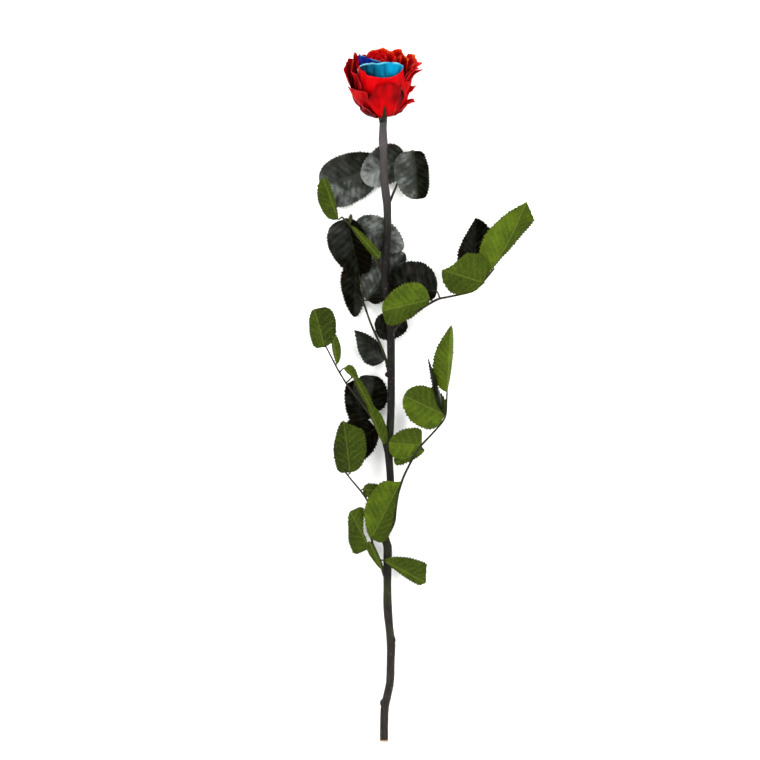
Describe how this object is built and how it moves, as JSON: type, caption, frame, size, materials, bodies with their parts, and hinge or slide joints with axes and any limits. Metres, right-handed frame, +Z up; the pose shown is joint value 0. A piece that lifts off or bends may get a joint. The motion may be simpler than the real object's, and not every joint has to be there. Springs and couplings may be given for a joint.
{
  "type": "preserved rose stem",
  "caption": "Preserved rose on its cut leafy stem, lying down: a layered bloom of curled petals with a calyx, and compound leaves with toothed leaflets.",
  "frame": {"origin": "centre of the lying flower's footprint, on the surface it lies on", "axes": "+Y along the stem towards the bloom, +Z up from the surface, +X to the right seen from above with the bloom at the far end"},
  "size_m": [0.179, 0.5482, 0.0543],
  "materials": {
    "bark": "dry dark rose bark, satin",
    "calyx_green": "matt dark green preserved sepal tissue",
    "red_petal": "velvety dyed red petal tissue",
    "cyan_petal": "velvety dyed cyan petal tissue",
    "navy_petal": "velvety dyed navy petal tissue",
    "dark_leaf": "waxy near-black green upper leaf face",
    "olive_leaf": "matt olive green underside of a leaf, with raised veins"
  },
  "bodies": {
    "root": {"stem": "bark", "calyx": "calyx_green", "petals_red": "red_petal", "petal_cyan": "cyan_petal", "petal_navy": "navy_petal", "leaf_top": "dark_leaf", "leaf_upper_left": "dark_leaf", "leaf_right": "olive_leaf", "leaf_middle_left": "dark_leaf", "leaf_lower_left": "olive_leaf", "leaf_low_right": "olive_leaf", "leaf_bottom_left": "olive_leaf"}
  },
  "joints": []
}
